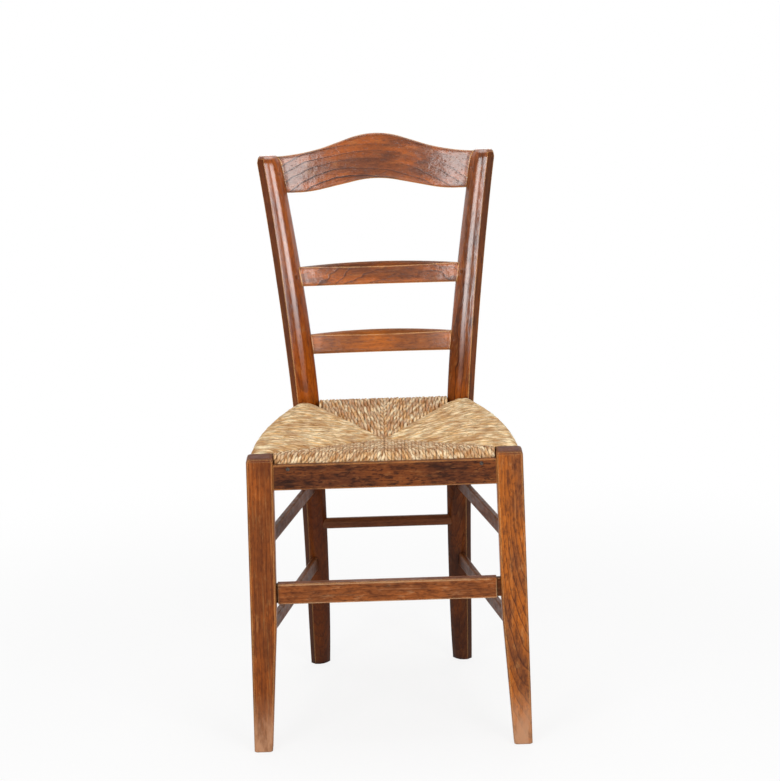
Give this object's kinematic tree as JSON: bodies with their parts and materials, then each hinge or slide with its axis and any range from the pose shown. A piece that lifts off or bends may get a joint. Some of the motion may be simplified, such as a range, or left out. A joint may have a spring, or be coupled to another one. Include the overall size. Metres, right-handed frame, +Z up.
{
  "type": "ladderback chair",
  "caption": "Wooden ladderback dining chair with a serpentine crest rail, bowed slats, raked rear posts, tapered front legs and a woven rush seat.",
  "frame": {"origin": "middle of the chair's bounding box, on the floor under the feet", "axes": "+Z up, the chair faces -Y, +X is the right of someone who looks at its front"},
  "size_m": [0.419, 0.4702, 0.8752],
  "materials": {
    "frame_wood": "waxed, worn satin",
    "back_wood": "waxed, worn satin",
    "apron_wood": "waxed, worn satin",
    "stretcher_wood": "waxed, worn satin",
    "hidden_wood": "rough, unfinished",
    "peg_wood": "satin",
    "rush": "woven, twisted rush",
    "straw": "loose, dry",
    "nail_steel": "worn, dull"
  },
  "bodies": {
    "root": {"front_leg_left": "frame_wood", "front_leg_right": "frame_wood", "rear_post_left": "frame_wood", "rear_post_right": "frame_wood", "crest_rail": "back_wood", "upper_slat": "back_wood", "lower_slat": "back_wood", "front_apron": "apron_wood", "front_stretcher": "stretcher_wood", "rear_stretcher": "stretcher_wood", "side_stretcher_upper_left": "stretcher_wood", "side_stretcher_upper_right": "stretcher_wood", "side_stretcher_lower_left": "stretcher_wood", "side_stretcher_lower_right": "stretcher_wood", "front_seat_rail": "hidden_wood", "rear_seat_rail": "hidden_wood", "side_seat_rail_left": "hidden_wood", "side_seat_rail_right": "hidden_wood", "crest_pegs": "peg_wood", "slat_pegs": "peg_wood", "rush_front_panel": "rush", "rush_rear_panel": "rush", "rush_left_panel": "rush", "rush_right_panel": "rush", "rush_stuffing": "straw", "apron_nails": "nail_steel"}
  },
  "joints": []
}
